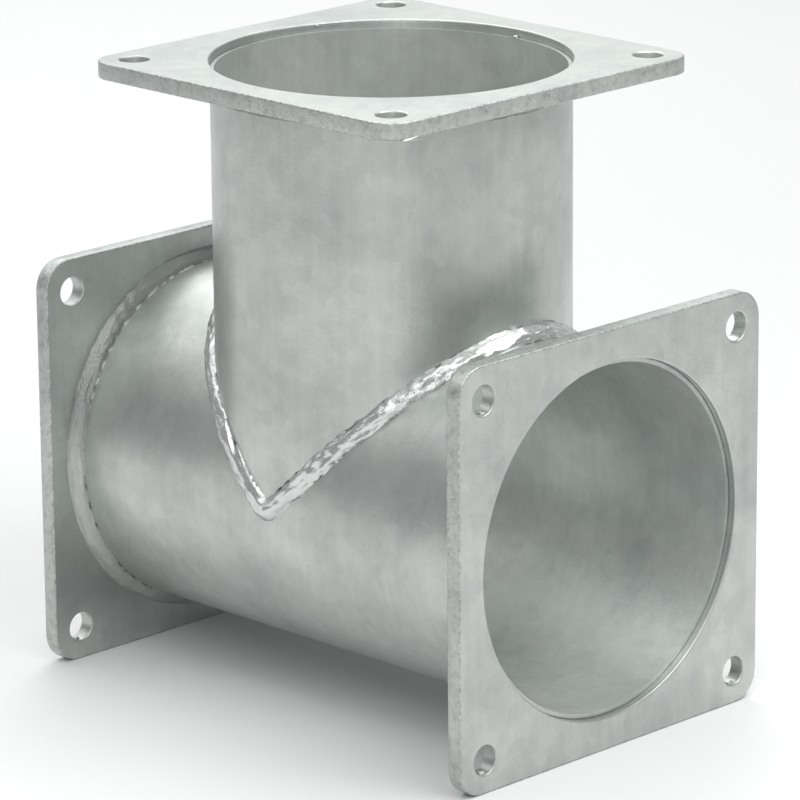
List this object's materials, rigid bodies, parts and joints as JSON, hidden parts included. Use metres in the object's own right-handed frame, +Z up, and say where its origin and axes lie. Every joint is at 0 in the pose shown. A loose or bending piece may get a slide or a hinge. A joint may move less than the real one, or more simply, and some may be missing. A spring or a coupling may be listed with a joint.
{
  "type": "square-flanged pipe tee",
  "caption": "Welded equal tee of galvanised steel pipe, with a square flange on each end, that joins a branch line at right angles to a straight run.",
  "frame": {"origin": "on the ground, midway between the two run flanges, below the crossing of the pipe axes", "axes": "X along the run, +Z up along the branch, Y across"},
  "size_m": [0.28, 0.2, 0.304],
  "materials": {
    "zinc": "hot dip galvanised steel, satin grey, faintly mottled",
    "weld": "hot dip galvanised weld bead, rippled and brighter than the plate"
  },
  "bodies": {
    "root": {"run_pipe": "zinc", "branch_pipe": "zinc", "left_flange": "zinc", "right_flange": "zinc", "branch_flange": "zinc", "left_flange_weld": "weld", "right_flange_weld": "weld", "branch_flange_weld": "weld", "saddle_weld": "weld"}
  },
  "joints": []
}
